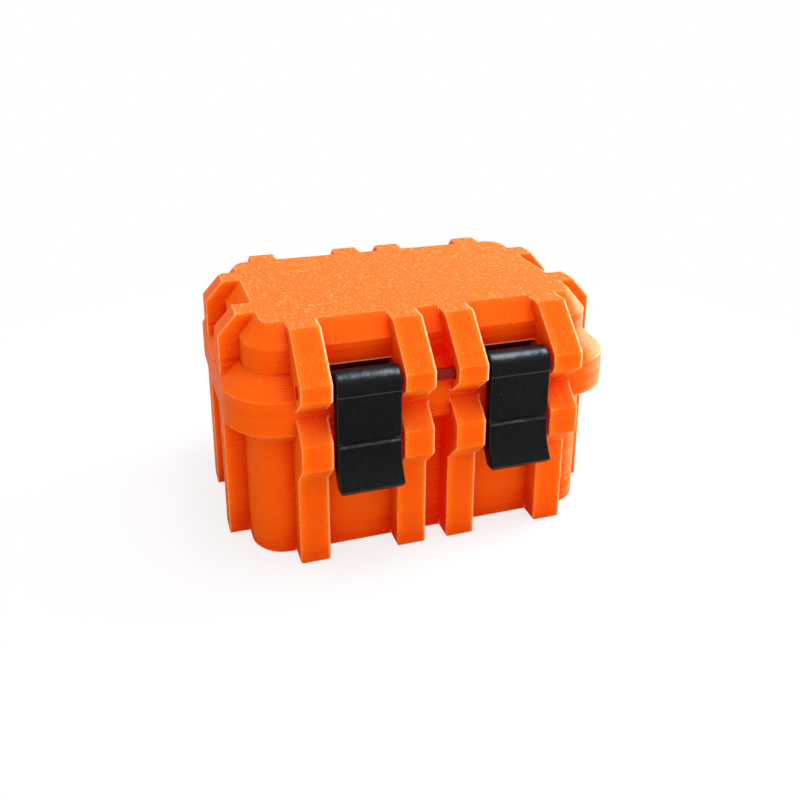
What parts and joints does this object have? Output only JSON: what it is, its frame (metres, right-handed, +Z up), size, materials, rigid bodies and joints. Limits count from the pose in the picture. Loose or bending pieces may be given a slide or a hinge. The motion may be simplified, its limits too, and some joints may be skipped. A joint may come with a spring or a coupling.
{
  "type": "compact hard case",
  "caption": "Small ribbed hard case in two shells, with a pinned hinge behind and swing latches in front that hook over bars on the base.",
  "frame": {"origin": "centre of the rectangle round the closed case, on the face it stands on", "axes": "+X along the case to the right as the latches are faced, +Y towards the hinge, +Z up"},
  "size_m": [0.0614, 0.0536, 0.0368],
  "materials": {
    "case_orange": "slightly translucent orange plastic, printed in fine layers",
    "latch_black": "satin black plastic, printed in fine layers",
    "rod_dark": "round dark red plastic rod"
  },
  "bodies": {
    "base": {"base_shell": "case_orange", "hinge_rod": "rod_dark"},
    "lid": {"lid_shell": "case_orange", "latch_rod": "rod_dark"},
    "latch_left": {"latch_left": "latch_black"},
    "latch_right": {"latch_right": "latch_black"}
  },
  "joints": [
    {"name": "lid_hinge", "type": "hinge", "parent": "base", "child": "lid", "pos_m": [0, 0.0242, 0.02476], "axis": [-1, 0, 0], "range_deg": [0, 180]},
    {"name": "latch_left_pivot", "type": "hinge", "parent": "lid", "child": "latch_left", "pos_m": [-0.01158, -0.0225, 0.0289], "axis": [-1, 0, 0], "range_deg": [0, 170]},
    {"name": "latch_right_pivot", "type": "hinge", "parent": "lid", "child": "latch_right", "pos_m": [0.01158, -0.0225, 0.0289], "axis": [-1, 0, 0], "range_deg": [0, 170]}
  ]
}
